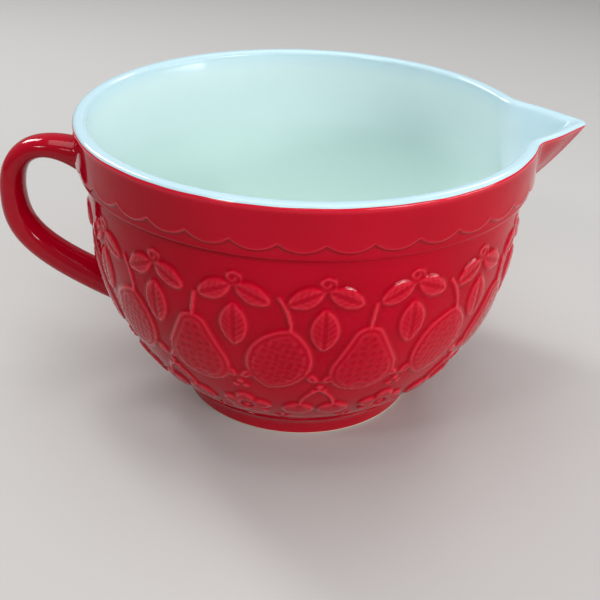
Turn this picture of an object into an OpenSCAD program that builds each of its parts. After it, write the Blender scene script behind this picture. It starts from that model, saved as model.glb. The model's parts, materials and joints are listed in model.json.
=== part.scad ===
// Stoneware batter bowl: a round bowl on a foot ring, with a scalloped rim band, a pouring spout,
// a loop handle and a frieze of fruit in low relief. +X points out of the spout, +Z is up, and the
// origin is the centre of the foot ring on the table.

/* [Bowl] */
// Outside diameter at the scalloped rim band
rim_d = 200; // [190:1:215]
// Height from the table to the rim
bowl_h = 134; // [128:1:145]
// How far the rim band stands out over the wall under it
rim_overhang = 4.2; // [3:0.1:9]
// How far below the rim the curved wall turns upright
belly_drop = 42; // [36:1:50]
// Outside diameter where the wall meets the foot ring
waist_d = 115; // [106:1:122]
// Thickness of the wall
wall_t = 5.5; // [4.5:0.1:6.5]
// Height of the inside floor above the table
floor_z = 10; // [8:0.5:12]
// Radius of the bend between the inside floor and the wall
floor_bend = 22; // [14:1:28]

/* [Foot] */
// Height of the foot ring
foot_h = 9; // [7:0.5:10]
// Width of the foot ring, from its inside to its outside
foot_ring_w = 8; // [5:0.5:11]
// How much narrower the foot ring is at the table, in radius
foot_draft = 1.5; // [0:0.1:3]
// Height of the hollow under the floor
foot_hollow = 3.5; // [2:0.1:5]

/* [Rim] */
// Height of the rim band
band_h = 22.6; // [20:0.2:26]
// Thickness of the rim at the lip
lip_t = 5.8; // [5.2:0.1:7]
// Rounding of the lip's two edges
lip_round = 2.2; // [1.5:0.1:2.4]
// Rounding of the rim band's lower edge
band_round = 1.2; // [0.6:0.1:1.6]
// Number of scallops round the rim band
scallop_count = 36; // [28:2:44]
// Depth of the scallops, from cusp to crown
scallop_drop = 2.9; // [2:0.1:3.6]
// How far the scalloped layer stands proud
scallop_t = 0.9; // [0.6:0.1:1.4]
// Height of the plain strip left under the scallops
scallop_gap = 3.5; // [2.5:0.1:5]

/* [Spout] */
// How far the spout's tip reaches beyond the rim
spout_reach = 22.5; // [17:0.5:24]
// Width of the spout where its sides leave the rim
spout_w = 58; // [50:1:66]
// How far below the rim the keel leaves the wall
keel_drop = 33; // [29:0.5:36]
// Rounding of the spout's keel
spout_nose = 4; // [2.6:0.2:5]
// Thickness of the spout's sides
spout_t = 5; // [4.8:0.1:5.8]
// How much the keel bows outwards
spout_bow = 1.6; // [0:0.1:3]

/* [Handle] */
// How far the handle's outside stands beyond the rim
handle_reach = 39; // [34:0.5:48]
// How far below the rim the handle's outermost point is
handle_out_drop = 43.5; // [40:0.5:50]
// How far below the rim the upper root starts in the wall
handle_top_drop = 32.5; // [30:0.5:36]
// Height at which the lower root starts in the wall
handle_low_z = 35.5; // [33:0.5:40]
// Thickness of the handle, in the plane of its loop
handle_t = 10.4; // [8:0.2:12]
// Width of the handle across its loop
handle_w = 15.6; // [12:0.2:20]
// Thickness of the handle where its upper end flares into the bowl
upper_root_t = 20; // [14:0.5:22]
// Thickness of the handle where its lower end flares into the bowl
lower_root_t = 15.5; // [12:0.5:20]
// Width of the handle where it flares into the bowl
root_w = 20; // [16:0.5:24]

/* [Glaze] */
// Thickness of the white liner glaze
glaze_t = 0.6; // [0.4:0.1:1]

/* [Relief] */
// How far the fruit stands out of the wall
relief_t = 1.3; // [0.8:0.1:1.8]
// Number of pears and lemons in the frieze
fruit_count = 16; // [12:2:16]
// Radius of a pear's round end, as a share of the fruit's spacing
pear_share = 0.405; // [0.34:0.005:0.43]
// Radius of a pear's neck, as a share of the fruit's spacing
pear_neck_share = 0.21; // [0.17:0.005:0.25]
// Distance between the centres of a pear's two ends, as a share of the fruit's spacing
pear_rise_share = 0.47; // [0.41:0.005:0.51]
// Length of a lemon from nib to nib, as a share of the fruit's spacing
lemon_l_share = 1.05; // [0.94:0.01:1.09]
// Width of a lemon, as a share of the fruit's spacing
lemon_w_share = 0.77; // [0.66:0.01:0.81]
// Radius of a cherry, as a share of the fruit's spacing
cherry_share = 0.194; // [0.165:0.001:0.207]
// Length of a leaf, as a share of the fruit's spacing
leaf_l_share = 0.455; // [0.37:0.005:0.47]
// Width of a leaf, as a share of the fruit's spacing
leaf_w_share = 0.255; // [0.2:0.005:0.285]
// Length of an upright leaf between two fruits, as a share of the fruit's spacing
tall_leaf_l_share = 0.6; // [0.45:0.01:0.66]
// Width of an upright leaf, as a share of the fruit's spacing
tall_leaf_w_share = 0.34; // [0.24:0.01:0.38]
// Radius of a blossom's petal, as a share of the fruit's spacing
petal_share = 0.128; // [0.1:0.001:0.136]
// Width of the stalks
stalk_w = 1.8; // [1.2:0.1:2.4]

/* [Hidden] */

// overrun of every cut, and how finely round shapes are drawn
over = 1;
round_fn = 96;
arc_fn = 360;
edge_fn = 32;
right_angle = 90;

// colours
red = [0.72, 0.02, 0.06];
dark_red = [0.6, 0.02, 0.05];
white = [0.86, 0.94, 0.93];

// radii that follow from the diameters
rim_r = rim_d / 2;
belly_r = rim_r - rim_overhang;
waist_r = waist_d / 2;
strip_r = rim_r - scallop_t;

// heights that follow from the rim's
band_z = bowl_h - band_h;
belly_z = bowl_h - belly_drop;
spout_low_z = bowl_h - keel_drop;
handle_out_z = bowl_h - handle_out_drop;
handle_top_z = bowl_h - handle_top_drop;

// the wall is one arc, upright at belly_z and ending on the foot ring
wall_rise = belly_z - foot_h;
wall_run = belly_r - waist_r;
wall_arc_r = (wall_rise * wall_rise + wall_run * wall_run) / (2 * wall_run);
wall_arc_x = belly_r - wall_arc_r;

// radius of the wall's outside at a height, and the tilt of its face there
function wall_drop(z) = max(belly_z - z, 0);
function wall_at(z) = wall_arc_x + sqrt(wall_arc_r * wall_arc_r - wall_drop(z) * wall_drop(z));
function wall_tilt(z) = asin(wall_drop(z) / wall_arc_r);

// the floor ends inside the foot ring, and the wall stands round it in three tiers
floor_share = 0.8;
lower_wall_share = 0.13;
middle_wall_share = 0.48;
floor_r = floor_share * (waist_r - foot_ring_w);
lower_top_z = foot_h + lower_wall_share * (band_z - foot_h);
middle_top_z = foot_h + middle_wall_share * (band_z - foot_h);

// the inside follows the wall, bends into a flat floor and flares a little to the lip
inner_r = belly_r - wall_t;
inner_arc_r = wall_arc_r - wall_t;
bend_z = floor_z + floor_bend;
bend_x = wall_arc_x + sqrt((inner_arc_r - floor_bend) * (inner_arc_r - floor_bend)
                           - (belly_z - bend_z) * (belly_z - bend_z));
bend_dir = [bend_x - wall_arc_x, bend_z - belly_z] / (inner_arc_r - floor_bend);
mouth_r = rim_r - lip_t;
round_z = bowl_h - lip_round;
flare_run = mouth_r - inner_r;
flare_rise = round_z - belly_z;
flare_r = (flare_run * flare_run + flare_rise * flare_rise) / (2 * flare_run);

// the keel is a straight slope with a bow in it, and each level of the spout is a rounded wedge
spout_tip_r = rim_r + spout_reach;
spout_half_w = spout_w / 2;
spout_half = atan(spout_half_w / (spout_tip_r - sqrt(rim_r * rim_r - spout_half_w * spout_half_w)));
keel_slope = (spout_tip_r - belly_r) / (bowl_h - spout_low_z);
keel_steps = 5;
lip_steps = 4;
nose_steps = 6;
spout_back_walls = 4;
spout_foot_walls = 3;
spout_back_x = belly_r - spout_back_walls * wall_t;
spout_foot_z = spout_low_z - spout_foot_walls * wall_t / keel_slope;
nose_setback = spout_nose / sin(spout_half) - spout_nose;
function keel_x(z) = belly_r + (z - spout_low_z) * keel_slope
  + spout_bow * sin(180 * max(0, z - spout_low_z) / (bowl_h - spout_low_z));
function wedge_corner(z, inset) = keel_x(z) + nose_setback - inset / sin(spout_half);
function wedge_points(corner) = let (nose_x = corner - spout_nose / sin(spout_half)) concat(
  [for (i = [0:nose_steps]) let (turn = (right_angle - spout_half) * (2 * i / nose_steps - 1))
     [nose_x + spout_nose * cos(turn), spout_nose * sin(turn)]],
  [[spout_back_x, (corner - spout_back_x) * tan(spout_half)],
   [spout_back_x, (spout_back_x - corner) * tan(spout_half)]]);

// the handle's centre line is two cubic curves that meet at its outermost point
handle_x = rim_r + handle_reach - handle_t / 2;
loop_w = handle_x - belly_r;
loop_up = handle_top_z - handle_out_z;
loop_down = handle_out_z - handle_low_z;
root_depth = upper_root_t / 2;
upper_pull_share = [[0.88, 2.05], [0, 1.8]];
lower_pull_share = [[1.58, 0.45], [0, 0.325]];
handle_top = [belly_r - root_depth, handle_top_z];
handle_out = [handle_x, handle_out_z];
handle_low = [wall_at(handle_low_z) - root_depth, handle_low_z];
function pull(share, w, h) = [share[0] * w, share[1] * h];
upper_curve = [handle_top, handle_top + pull(upper_pull_share[0], loop_w, loop_up),
               handle_out + pull(upper_pull_share[1], loop_w, loop_up), handle_out];
lower_curve = [handle_low, handle_low + pull(lower_pull_share[0], loop_w, loop_down),
               handle_out - pull(lower_pull_share[1], loop_w, loop_down), handle_out];
curve_steps = 12;
section_steps = 18;
upper_flare_share = 0.5;
upper_flare_power = 2;
lower_flare_share = 1;
lower_flare_power = 1.2;

function bezier(p, t) = (1 - t) * (1 - t) * (1 - t) * p[0] + 3 * (1 - t) * (1 - t) * t * p[1]
  + 3 * (1 - t) * t * t * p[2] + t * t * t * p[3];
function bezier_way(p, t) = 3 * (1 - t) * (1 - t) * (p[1] - p[0]) + 6 * (1 - t) * t * (p[2] - p[1])
  + 3 * t * t * (p[3] - p[2]);
function flare(t, reach, power) = pow(max(0, 1 - t / reach), power);

// rings of points along the handle, from the upper root round to the lower one
function section_points(c, way, root_t, flared) = let (d = way / norm(way),
  half_t = (handle_t + (root_t - handle_t) * flared) / 2,
  half_w = (handle_w + (root_w - handle_w) * flared) / 2)
  [for (i = [0:section_steps - 1]) let (a = 360 * i / section_steps)
    [-c[0] + half_t * cos(a) * d[1], half_w * sin(a), c[1] + half_t * cos(a) * d[0]]];
handle_rings = concat(
  [for (i = [0:curve_steps]) let (t = i / curve_steps)
    section_points(bezier(upper_curve, t), bezier_way(upper_curve, t), upper_root_t,
                   flare(t, upper_flare_share, upper_flare_power))],
  [for (i = [curve_steps - 1:-1:0]) let (t = i / curve_steps)
    section_points(bezier(lower_curve, t), -bezier_way(lower_curve, t), lower_root_t,
                   flare(t, lower_flare_share, lower_flare_power))]);

// closes a row of rings, each with the same number of points, into one solid
module skin(rings) {
  n = len(rings[0]);
  last = len(rings) - 1;
  polyhedron(points = [for (ring = rings) for (p = ring) p], faces = concat(
    [[for (i = [0:n - 1]) i]],
    [for (j = [0:last - 1]) for (i = [0:n - 1])
      [j * n + i, (j + 1) * n + i, (j + 1) * n + (i + 1) % n, j * n + (i + 1) % n]],
    [[for (i = [n - 1:-1:0]) last * n + i]]));
}

// the wall's outside grown by a skin, from the foot ring up to the rim band
module wall_outline(skin_t) {
  intersection() {
    translate([wall_arc_x, belly_z]) circle(wall_arc_r + skin_t, $fn = arc_fn);
    translate([0, foot_h]) square([rim_r, belly_z - foot_h]);
  }
  translate([0, belly_z]) square([belly_r + skin_t, band_z - belly_z]);
}

// the room inside the bowl, grown by a skin
module cavity_outline(skin_t) {
  seam = [wall_arc_x, belly_z] + bend_dir * (inner_arc_r + skin_t);
  intersection() {
    translate([wall_arc_x, belly_z]) circle(inner_arc_r + skin_t, $fn = arc_fn);
    translate([0, seam[1]]) square([rim_r, belly_z - seam[1]]);
  }
  intersection() {
    translate([bend_x, bend_z]) circle(floor_bend + skin_t, $fn = arc_fn);
    translate([bend_x, floor_z - skin_t]) square([seam[0] - bend_x, seam[1] - floor_z + skin_t]);
  }
  polygon([[0, floor_z - skin_t], [bend_x, floor_z - skin_t], seam, [bend_x, belly_z], [0, belly_z]]);
  difference() {
    translate([0, belly_z]) square([rim_r, round_z - belly_z]);
    translate([inner_r + flare_r, belly_z]) circle(flare_r - skin_t, $fn = arc_fn);
  }
}

// the room over it, inside the round inner edge of the lip
module mouth_outline(skin_t) {
  difference() {
    translate([0, round_z]) square([mouth_r + lip_round, lip_round + over]);
    translate([mouth_r + lip_round, round_z]) circle(lip_round - skin_t, $fn = edge_fn);
  }
}

// what the liner glaze takes from the clay of the rim, and the room that it leaves
module glazed_room_outline() {
  cavity_outline(glaze_t);
  mouth_outline(glaze_t);
  translate([0, bowl_h - glaze_t]) square([rim_r + over, glaze_t + over]);
}
module room_outline() {
  cavity_outline(0);
  mouth_outline(0);
}

// a disc from one height up to the rim, with the round outer edge of the lip
module lip_outline(low_z) {
  translate([0, low_z]) square([rim_r, round_z - low_z]);
  translate([0, low_z]) square([rim_r - lip_round, bowl_h - low_z]);
  translate([rim_r - lip_round, round_z]) circle(lip_round, $fn = edge_fn);
}

// the rim band without its scallops, with a soft lower edge
module band_outline() {
  translate([0, band_z]) square([strip_r - band_round, band_h]);
  translate([0, band_z + band_round]) square([strip_r, band_h - band_round]);
  translate([strip_r - band_round, band_z + band_round]) circle(band_round, $fn = edge_fn);
}
module collar_outline() {
  difference() {
    intersection() {
      band_outline();
      lip_outline(band_z);
    }
    glazed_room_outline();
  }
}

// the spout's outside, and its trough set back from it by the thickness of its sides
function wedge_ring(z, inset) = [for (p = wedge_points(wedge_corner(z, inset))) [p[0], p[1], z]];
function wedge_rings(inset, edge_r, edge_way) = concat(
  [wedge_ring(spout_foot_z, inset)],
  [for (i = [0:keel_steps]) wedge_ring(spout_low_z + (round_z - spout_low_z) * i / keel_steps, inset)],
  [for (i = [1:lip_steps]) let (turn = right_angle * i / lip_steps)
    wedge_ring(round_z + edge_r * sin(turn), inset + edge_way * edge_r * (1 - cos(turn)))]);
module spout_outside() skin(wedge_rings(0, lip_round, 1));
module trough(skin_t) skin(concat(wedge_rings(spout_t - skin_t, lip_round - skin_t, -1),
                                  [wedge_ring(bowl_h + over, spout_t - lip_round)]));

// the part of the rim that belongs to the spout
spout_side_r = (spout_tip_r + nose_setback) * sin(spout_half);
spout_margin = 2;
spout_mouth_turn = acos(min(1, (spout_side_r - spout_t + lip_round) / mouth_r));
spout_span = right_angle - spout_half - spout_mouth_turn + spout_margin;
module spout_sector() {
  reach = 2 * spout_tip_r;
  translate([0, 0, spout_foot_z - over]) linear_extrude(bowl_h - spout_foot_z + 2 * over)
    polygon([[0, 0], [reach, -reach * tan(spout_span)], [reach, reach * tan(spout_span)]]);
}

module foot_ring() {
  color(dark_red) rotate_extrude($fn = round_fn)
    polygon([[waist_r - foot_ring_w, 0], [waist_r - foot_draft, 0], [waist_r, foot_h],
             [waist_r - foot_ring_w, foot_h]]);
}

// the clay of the wall and the floor in section, and the tiers that it is divided into
module clay_outline() {
  difference() {
    union() {
      wall_outline(0);
      translate([0, foot_hollow]) square([waist_r - foot_ring_w, foot_h - foot_hollow]);
    }
    cavity_outline(glaze_t);
  }
}
module clay_tier(near_r, far_r, low_z, high_z) {
  rotate_extrude($fn = round_fn) intersection() {
    clay_outline();
    translate([near_r, low_z]) square([far_r - near_r, high_z - low_z]);
  }
}

module bowl_floor() {
  color(red) clay_tier(0, floor_r, foot_hollow, lower_top_z);
}

module lower_wall() {
  color(red) clay_tier(floor_r, rim_r, foot_hollow, lower_top_z);
}

module middle_wall() {
  color(red) clay_tier(floor_r, rim_r, lower_top_z, middle_top_z);
}

module upper_wall() {
  color(red) difference() {
    clay_tier(floor_r, rim_r, middle_top_z, band_z);
    spout_outside();
  }
}

module rim_collar() {
  color(red) difference() {
    rotate_extrude($fn = round_fn) collar_outline();
    spout_sector();
  }
}

// a notch between two scallops, cut along the radius
scallop_pitch = 360 / scallop_count;
scallop_half_w = rim_r * sin(scallop_pitch / 2);
scallop_r = (scallop_half_w * scallop_half_w + scallop_drop * scallop_drop) / (2 * scallop_drop);
crown_z = band_z + scallop_gap;
crown_flat_share = 0.05;
layer_z = crown_z + crown_flat_share * scallop_drop;
module scallop_notch() {
  translate([belly_r, 0, 0]) rotate([90, 0, 90]) linear_extrude(rim_r - belly_r + over) difference() {
    translate([-scallop_half_w, band_z]) square([2 * scallop_half_w, scallop_gap + scallop_drop]);
    for (side = [-1, 1]) translate([side * scallop_half_w, crown_z + scallop_r])
      circle(scallop_r, $fn = round_fn);
  }
}

module scallop_band() {
  color(red) difference() {
    rotate_extrude($fn = round_fn) intersection() {
      lip_outline(band_z);
      translate([strip_r, layer_z]) square([scallop_t, bowl_h - glaze_t - layer_z]);
    }
    for (k = [0:scallop_count - 1]) rotate([0, 0, (k + 0.5) * scallop_pitch]) scallop_notch();
    spout_outside();
    skin(handle_rings);
  }
}

// the glaze on the flat of the lip, over the spout
module lip_slab() {
  translate([0, -rim_r, bowl_h - glaze_t]) cube([2 * spout_tip_r, 2 * rim_r, glaze_t + over]);
}

module pouring_spout() {
  color(red) difference() {
    intersection() {
      union() {
        rotate_extrude($fn = round_fn) collar_outline();
        spout_outside();
      }
      spout_sector();
    }
    rotate_extrude($fn = round_fn) glazed_room_outline();
    trough(glaze_t);
    lip_slab();
  }
}

module handle() {
  color(red) difference() {
    skin(handle_rings);
    rotate_extrude($fn = round_fn) {
      wall_outline(0);
      band_outline();
    }
  }
}

// the liner glaze in section, down the inside and over the lip
module liner_outline() {
  difference() {
    cavity_outline(glaze_t);
    cavity_outline(0);
  }
  intersection() {
    union() {
      mouth_outline(glaze_t);
      translate([0, bowl_h - glaze_t]) square([rim_r + over, glaze_t + over]);
    }
    union() {
      translate([mouth_r + lip_round, band_z]) square([lip_t - 2 * lip_round, band_h]);
      for (x = [mouth_r + lip_round, rim_r - lip_round]) translate([x, round_z])
        circle(lip_round, $fn = edge_fn);
    }
  }
}

module liner_glaze() {
  color(white) difference() {
    union() {
      rotate_extrude($fn = round_fn) liner_outline();
      difference() {
        intersection() {
          spout_outside();
          spout_sector();
          union() {
            trough(glaze_t);
            lip_slab();
          }
        }
        rotate_extrude($fn = round_fn) room_outline();
      }
    }
    trough(0);
  }
}

// the frieze runs from one side of the handle round to the other, in even steps
frieze_gap = 24;
frieze_pitch = (360 - frieze_gap) / fruit_count;
frieze_h = band_z - foot_h;
tallest_spacing_share = 0.343;
spacing = min(PI * belly_r * frieze_pitch / 180, tallest_spacing_share * frieze_h);
pear_r = pear_share * spacing;
pear_neck_r = pear_neck_share * spacing;
pear_rise = pear_rise_share * spacing;
lemon_l = lemon_l_share * spacing;
lemon_w = lemon_w_share * spacing;
cherry_r = cherry_share * spacing;
leaf_l = leaf_l_share * spacing;
leaf_w = leaf_w_share * spacing;
tall_leaf_l = tall_leaf_l_share * spacing;
tall_leaf_w = tall_leaf_w_share * spacing;
petal_r = petal_share * spacing;
fruit_level_share = 0.54;
blossom_level_share = 0.22;
leaf_level_share = 0.7;
spray_level_share = 0.84;
motif_depth = 2 * spacing;
function level(share) = foot_h + share * frieze_h;

// puts a flat shape on the wall: its x runs round the bowl, its y up the wall
module on_wall(az, z) {
  rotate([0, 0, az]) translate([wall_arc_x, 0, max(z, belly_z)]) rotate([0, wall_tilt(z), 0])
    translate([wall_arc_r, 0, 0]) rotate([90, 0, 90])
      linear_extrude(motif_depth, center = true) children();
}
module relief_skin() {
  rotate_extrude($fn = round_fn) difference() {
    wall_outline(relief_t);
    wall_outline(0);
  }
}

// the flat shapes of the frieze
module lens_shape(l, w) {
  r = (l * l + w * w) / (4 * w);
  intersection() {
    translate([0, r - w / 2]) circle(r, $fn = arc_fn);
    translate([0, w / 2 - r]) circle(r, $fn = arc_fn);
  }
}
module pear_shape() {
  lean = asin((pear_r - pear_neck_r) / pear_rise);
  circle(pear_r, $fn = round_fn);
  translate([0, pear_rise]) circle(pear_neck_r, $fn = round_fn);
  polygon([for (side = [-1, 1]) for (end = [0, 1])
    let (low = end == (side + 1) / 2, r = low ? pear_r : pear_neck_r)
    [side * r * cos(lean), r * sin(lean) + (low ? 0 : pear_rise)]]);
}
lemon_nib_share = 0.11;
module lemon_shape() {
  nib_r = lemon_nib_share * lemon_w;
  lens_shape(lemon_l, lemon_w);
  for (side = [-1, 1]) translate([side * (lemon_l / 2 - nib_r), 0]) circle(nib_r, $fn = edge_fn);
}
module stalk_shape(run, rise) {
  bend_r = (run * run + rise * rise) / (2 * run);
  intersection() {
    translate([bend_r, 0]) difference() {
      circle(bend_r + stalk_w / 2, $fn = arc_fn);
      circle(bend_r - stalk_w / 2, $fn = arc_fn);
    }
    translate([-stalk_w, 0]) square([run + 2 * stalk_w, rise]);
  }
}

module relief_pears() {
  color(red) for (k = [0:2:fruit_count - 1]) intersection() {
    relief_skin();
    on_wall(frieze_pitch * (k + 0.5 - fruit_count / 2), level(fruit_level_share))
      translate([0, -pear_rise / 3]) pear_shape();
  }
}
lemon_lean = 75;
module relief_lemons() {
  color(red) for (k = [1:2:fruit_count - 1]) intersection() {
    relief_skin();
    on_wall(frieze_pitch * (k + 0.5 - fruit_count / 2), level(fruit_level_share))
      rotate(lemon_lean) lemon_shape();
  }
}
cherry_x = cherry_r + stalk_w / 4;
module relief_cherries() {
  color(red) for (k = [2:2:fruit_count - 2]) for (side = [-1, 1]) intersection() {
    relief_skin();
    on_wall(frieze_pitch * (k - fruit_count / 2), level(blossom_level_share))
      translate([side * cherry_x, 0]) circle(cherry_r, $fn = round_fn);
  }
}
petal_turn = 72;
petal_out_share = 1.4;
module relief_blossoms() {
  color(red) for (k = [1:2:fruit_count - 1]) intersection() {
    relief_skin();
    on_wall(frieze_pitch * (k - fruit_count / 2), level(blossom_level_share)) {
      circle(petal_r, $fn = edge_fn);
      for (petal = [0:4]) rotate(right_angle + petal * petal_turn)
        translate([petal_out_share * petal_r, 0]) circle(petal_r, $fn = edge_fn);
    }
  }
}
leaf_lift = 25;
leaf_clear_share = 1.5;
module relief_leaves() {
  color(red) {
    for (k = [0:fruit_count - 1]) for (side = [-1, 1]) intersection() {
      relief_skin();
      on_wall(frieze_pitch * (k + 0.5 - fruit_count / 2), level(spray_level_share))
        translate([side * (leaf_clear_share * stalk_w + leaf_l / 2 * cos(leaf_lift)), 0])
          rotate(side * leaf_lift) lens_shape(leaf_l, leaf_w);
    }
    for (k = [1:fruit_count - 1]) intersection() {
      relief_skin();
      on_wall(frieze_pitch * (k - fruit_count / 2), level(leaf_level_share))
        rotate(right_angle) lens_shape(tall_leaf_l, tall_leaf_w);
    }
  }
}
module relief_stalks() {
  color(red) {
    for (k = [0:2:fruit_count - 1]) intersection() {
      relief_skin();
      on_wall(frieze_pitch * (k + 0.5 - fruit_count / 2), level(fruit_level_share))
        translate([0, -pear_rise / 3]) difference() {
          translate([0, pear_rise]) stalk_shape(stalk_w, pear_rise);
          pear_shape();
        }
    }
    for (k = [1:2:fruit_count - 1]) intersection() {
      relief_skin();
      on_wall(frieze_pitch * (k + 0.5 - fruit_count / 2), level(fruit_level_share)) difference() {
        translate([lemon_l / 2 * cos(lemon_lean), lemon_l / 2 * sin(lemon_lean) - stalk_w])
          mirror([1, 0]) stalk_shape(lemon_l / 2 * cos(lemon_lean), pear_rise - stalk_w);
        rotate(lemon_lean) lemon_shape();
      }
    }
    for (k = [2:2:fruit_count - 2]) intersection() {
      relief_skin();
      on_wall(frieze_pitch * (k - fruit_count / 2), level(blossom_level_share)) difference() {
        for (side = [0, 1]) mirror([side, 0]) translate([-cherry_r, cherry_r - stalk_w])
          stalk_shape(cherry_r, 2 * cherry_r);
        for (side = [-1, 1]) translate([side * cherry_x, 0]) circle(cherry_r, $fn = round_fn);
      }
    }
  }
}

foot_ring();
bowl_floor();
lower_wall();
middle_wall();
upper_wall();
rim_collar();
scallop_band();
pouring_spout();
handle();
liner_glaze();
relief_pears();
relief_lemons();
relief_cherries();
relief_leaves();
relief_blossoms();
relief_stalks();
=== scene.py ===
import bpy
import json
import math
import numpy as np
from mathutils import Matrix, Vector

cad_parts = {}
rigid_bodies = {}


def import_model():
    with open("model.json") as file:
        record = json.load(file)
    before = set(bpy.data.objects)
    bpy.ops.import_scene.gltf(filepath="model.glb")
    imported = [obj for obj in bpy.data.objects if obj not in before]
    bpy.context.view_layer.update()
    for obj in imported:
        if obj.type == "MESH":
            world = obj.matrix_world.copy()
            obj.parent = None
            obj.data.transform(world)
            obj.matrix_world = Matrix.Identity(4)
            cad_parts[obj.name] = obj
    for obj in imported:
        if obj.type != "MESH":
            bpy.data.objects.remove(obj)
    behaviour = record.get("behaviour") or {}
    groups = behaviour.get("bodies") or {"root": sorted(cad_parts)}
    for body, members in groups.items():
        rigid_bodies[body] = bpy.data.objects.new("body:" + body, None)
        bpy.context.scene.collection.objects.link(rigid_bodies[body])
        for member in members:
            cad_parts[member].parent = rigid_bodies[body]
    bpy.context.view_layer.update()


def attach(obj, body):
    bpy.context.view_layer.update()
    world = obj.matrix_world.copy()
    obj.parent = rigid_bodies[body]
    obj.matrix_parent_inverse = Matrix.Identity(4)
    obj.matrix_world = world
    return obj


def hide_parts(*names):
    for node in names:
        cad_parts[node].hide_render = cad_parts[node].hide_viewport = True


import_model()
mm = 0.001
tau = 2 * math.pi

for other in list(bpy.data.objects):
    if other.type in ("CAMERA", "LIGHT") or other.name == "Cube":
        bpy.data.objects.remove(other)


# small helpers

def smoothMax(a, b, k):
    h = np.clip(0.5 + 0.5 * (a - b) / k, 0, 1)
    return b + (a - b) * h + k * h * (1 - h)


def smoothStep(low, high, x):
    t = np.clip((x - low) / (high - low), 0, 1)
    return t * t * (3 - 2 * t)


def bell(x, width):
    return np.exp(-(x / width) ** 2)


# a number from 0 to 1 for each cell, the same in every run
def hashed(a, b, seed):
    v = np.sin(a * 127.1 + b * 311.7 + seed * 74.7) * 43758.5453
    return v - np.floor(v)


# leaves edit mode with doubles merged, open ends closed if asked, faces outward, smooth up to crease degrees
def finishMesh(crease, capEnds=False):
    bpy.ops.mesh.select_all(action="SELECT")
    bpy.ops.mesh.remove_doubles(threshold=1e-6)
    if capEnds:
        bpy.ops.mesh.select_all(action="SELECT")
        bpy.ops.mesh.fill_holes(sides=0)
    bpy.ops.mesh.select_all(action="SELECT")
    bpy.ops.mesh.normals_make_consistent(inside=False)
    bpy.ops.object.mode_set(mode="OBJECT")
    bpy.ops.object.shade_smooth_by_angle(angle=math.radians(crease))


# a sheet of quads, wrapped by code into a closed skin: x runs round, y runs along the section
def wrapSheet(name, points, marks=None, capEnds=False):
    rows, columns = points.shape[:2]
    bpy.ops.object.select_all(action="DESELECT")
    bpy.ops.mesh.primitive_grid_add(x_subdivisions=columns - 1, y_subdivisions=rows - 1, size=1)
    piece = bpy.context.object
    piece.name = piece.data.name = name
    mesh = piece.data
    spots = np.empty(len(mesh.vertices) * 3)
    mesh.vertices.foreach_get("co", spots)
    spots = spots.reshape(-1, 3)
    column = np.rint((spots[:, 0] + 0.5) * (columns - 1)).astype(int)
    row = np.rint((spots[:, 1] + 0.5) * (rows - 1)).astype(int)
    mesh.vertices.foreach_set("co", (points[row, column] * mm).ravel())
    for key, values in (marks or {}).items():
        attribute = mesh.attributes.new(key, "FLOAT", "POINT")
        attribute.data.foreach_set("value", values[row, column].ravel())
    bpy.ops.object.mode_set(mode="EDIT")
    finishMesh(50, capEnds)
    return piece


# sizes shared by the pieces, in mm like every size up to the materials

bowl = {"rimR": 100, "lipZ": 134, "bellyR": 95.8, "bellyZ": 92, "waistR": 57.5, "footZ": 9,
        "floorZ": 10, "floorBend": 22, "wallT": 5.5, "mouthR": 94.2, "lipRound": 2.2, "bandZ": 111.4,
        "seamZ": 107, "seamDip": 7, "seamSpread": 14}
run = bowl["bellyR"] - bowl["waistR"]
rise = bowl["bellyZ"] - bowl["footZ"]
arcR = (rise * rise + run * run) / (2 * run)
arcX = bowl["bellyR"] - arcR
arcSpan = math.asin(rise / arcR)
roundZ = bowl["lipZ"] - bowl["lipRound"]


def wallR(z):
    drop = np.maximum(bowl["bellyZ"] - z, 0)
    return arcX + np.sqrt(arcR * arcR - drop * drop)


# distance along the wall's section from the foot ring
def alongOf(z):
    drop = np.clip(bowl["bellyZ"] - z, 0, arcR)
    return arcR * (arcSpan - np.arcsin(drop / arcR)) + np.maximum(z - bowl["bellyZ"], 0)


# radius and height at such a distance, and which way the wall faces there
def sectionAt(s):
    turn = np.clip(arcSpan - s / arcR, 0, None)
    above = np.maximum(s - arcR * arcSpan, 0)
    return (arcX + arcR * np.cos(turn), bowl["bellyZ"] - arcR * np.sin(turn) + above,
            np.cos(turn), -np.sin(turn))


# where the wall's mesh meets the rim's, lower under the spout
def seamZ(az):
    return bowl["seamZ"] - bowl["seamDip"] * bell(az, math.radians(bowl["seamSpread"]))


# spout, as distances from the bowl's axis

spout = {"reach": 22.5, "width": 53, "lowZ": 101, "nose": 4, "side": 5, "bow": 1.6,
         "swell": 0.9, "outerFillet": 2.0, "innerFillet": 3.2}
leaveAz = math.asin(spout["width"] / 2 / bowl["rimR"])
tipR = bowl["rimR"] + spout["reach"]
half = math.atan(spout["width"] / 2 / (tipR - bowl["rimR"] * math.cos(leaveAz)))
keelSlope = (tipR - bowl["bellyR"]) / (bowl["lipZ"] - spout["lowZ"])
noseBack = spout["nose"] / math.sin(half) - spout["nose"]


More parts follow.
